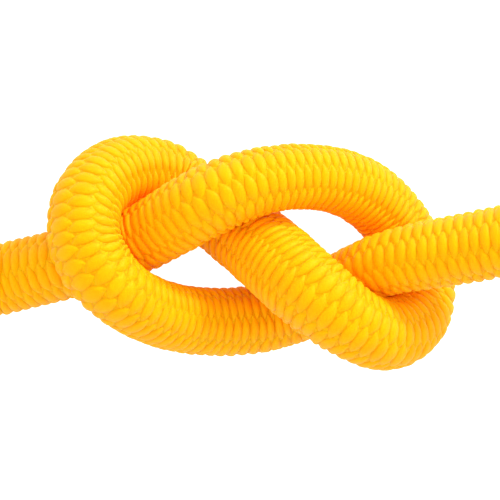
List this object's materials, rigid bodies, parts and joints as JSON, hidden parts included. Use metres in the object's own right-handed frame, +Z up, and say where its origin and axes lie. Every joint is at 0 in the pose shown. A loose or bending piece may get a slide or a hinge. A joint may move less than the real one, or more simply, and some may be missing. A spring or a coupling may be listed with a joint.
{
  "type": "knotted elastic cord",
  "caption": "Braided elastic shock cord tied in a loose figure-eight knot, with two free tails that bend, lift and stretch.",
  "frame": {"origin": "middle of the footprint, on the plane the knot rests on", "axes": "+Z up from the plane the knot lies on, +X from the left tail to the right tail, +Y from the foot of the loops to their tops"},
  "size_m": [0.0908, 0.026, 0.0226],
  "materials": {
    "braided_cover": "satin multifilament yarn in a two-over-two-under braid",
    "rubber_core": "matt natural rubber"
  },
  "bodies": {
    "root": {"cover_knot": "braided_cover", "thread_1_knot": "rubber_core", "thread_2_knot": "rubber_core", "thread_3_knot": "rubber_core", "thread_4_knot": "rubber_core", "thread_5_knot": "rubber_core", "thread_6_knot": "rubber_core", "thread_7_knot": "rubber_core"},
    "left_swing": {"cover_left_swing": "braided_cover", "thread_1_left_swing": "rubber_core", "thread_2_left_swing": "rubber_core", "thread_3_left_swing": "rubber_core", "thread_4_left_swing": "rubber_core", "thread_5_left_swing": "rubber_core", "thread_6_left_swing": "rubber_core", "thread_7_left_swing": "rubber_core"},
    "left_lift": {"cover_left_lift": "braided_cover", "thread_1_left_lift": "rubber_core", "thread_2_left_lift": "rubber_core", "thread_3_left_lift": "rubber_core", "thread_4_left_lift": "rubber_core", "thread_5_left_lift": "rubber_core", "thread_6_left_lift": "rubber_core", "thread_7_left_lift": "rubber_core"},
    "left_end": {"cover_left_end": "braided_cover", "thread_1_left_end": "rubber_core", "thread_2_left_end": "rubber_core", "thread_3_left_end": "rubber_core", "thread_4_left_end": "rubber_core", "thread_5_left_end": "rubber_core", "thread_6_left_end": "rubber_core", "thread_7_left_end": "rubber_core"},
    "right_swing": {"cover_right_swing": "braided_cover", "thread_1_right_swing": "rubber_core", "thread_2_right_swing": "rubber_core", "thread_3_right_swing": "rubber_core", "thread_4_right_swing": "rubber_core", "thread_5_right_swing": "rubber_core", "thread_6_right_swing": "rubber_core", "thread_7_right_swing": "rubber_core"},
    "right_lift": {"cover_right_lift": "braided_cover", "thread_1_right_lift": "rubber_core", "thread_2_right_lift": "rubber_core", "thread_3_right_lift": "rubber_core", "thread_4_right_lift": "rubber_core", "thread_5_right_lift": "rubber_core", "thread_6_right_lift": "rubber_core", "thread_7_right_lift": "rubber_core"},
    "right_end": {"cover_right_end": "braided_cover", "thread_1_right_end": "rubber_core", "thread_2_right_end": "rubber_core", "thread_3_right_end": "rubber_core", "thread_4_right_end": "rubber_core", "thread_5_right_end": "rubber_core", "thread_6_right_end": "rubber_core", "thread_7_right_end": "rubber_core"}
  },
  "joints": [
    {"name": "left_tail_swing", "type": "hinge", "parent": "root", "child": "left_swing", "pos_m": [-0.02662, -0.00265, 0.00531], "axis": [0, 0, -1], "range_deg": [-25, 25], "stiffness_Nm_per_rad": 0.01},
    {"name": "left_tail_lift", "type": "hinge", "parent": "left_swing", "child": "left_lift", "pos_m": [-0.03155, -0.00375, 0.00427], "axis": [-0.2095, 0.9778, 0], "range_deg": [0, 25], "stiffness_Nm_per_rad": 0.01},
    {"name": "left_tail_stretch", "type": "slide", "parent": "left_lift", "child": "left_end", "axis": [-0.983, -0.182, 0.0237], "range_m": [0, 0.006], "stiffness_N_per_m": 100},
    {"name": "right_tail_swing", "type": "hinge", "parent": "root", "child": "right_swing", "pos_m": [0.02666, 0.00108, 0.01586], "axis": [0, 0, 1], "range_deg": [-25, 25], "stiffness_Nm_per_rad": 0.01},
    {"name": "right_tail_lift", "type": "hinge", "parent": "right_swing", "child": "right_lift", "pos_m": [0.03156, 0.00216, 0.0172], "axis": [0.2235, -0.9747, 0], "range_deg": [-25, 25], "stiffness_Nm_per_rad": 0.01},
    {"name": "right_tail_stretch", "type": "slide", "parent": "right_lift", "child": "right_end", "axis": [0.9709, 0.217, 0.101], "range_m": [0, 0.006], "stiffness_N_per_m": 100}
  ]
}
